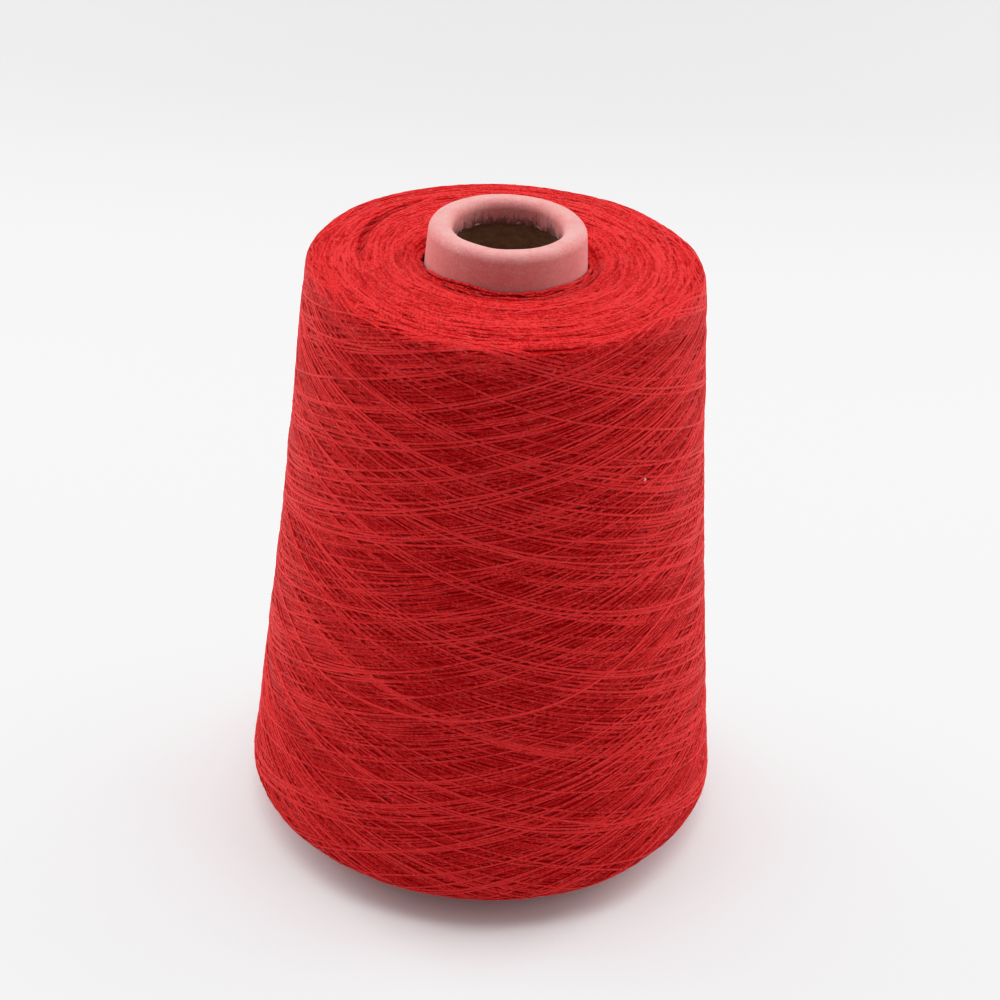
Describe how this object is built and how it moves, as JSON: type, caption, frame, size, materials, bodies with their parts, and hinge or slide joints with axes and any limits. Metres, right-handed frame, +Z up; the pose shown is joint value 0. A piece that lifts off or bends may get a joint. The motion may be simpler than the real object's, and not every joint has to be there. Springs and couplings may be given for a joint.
{
  "type": "cone of thread",
  "caption": "Yarn cross-wound on a tapered paper cone with a rolled nose, which stands on the cone's foot and slips over a peg.",
  "frame": {"origin": "centre of the paper cone's foot, on the surface it stands on", "axes": "+Z up along the bore towards the nose, -Y the side facing the picture's camera"},
  "size_m": [0.127, 0.1262, 0.17],
  "materials": {
    "pink_paper": "matt dyed paper, brown kraft inside",
    "red_yarn": "matt, slightly hairy spun yarn"
  },
  "bodies": {
    "root": {"paper_cone": "pink_paper", "yarn_winding": "red_yarn"}
  },
  "joints": []
}
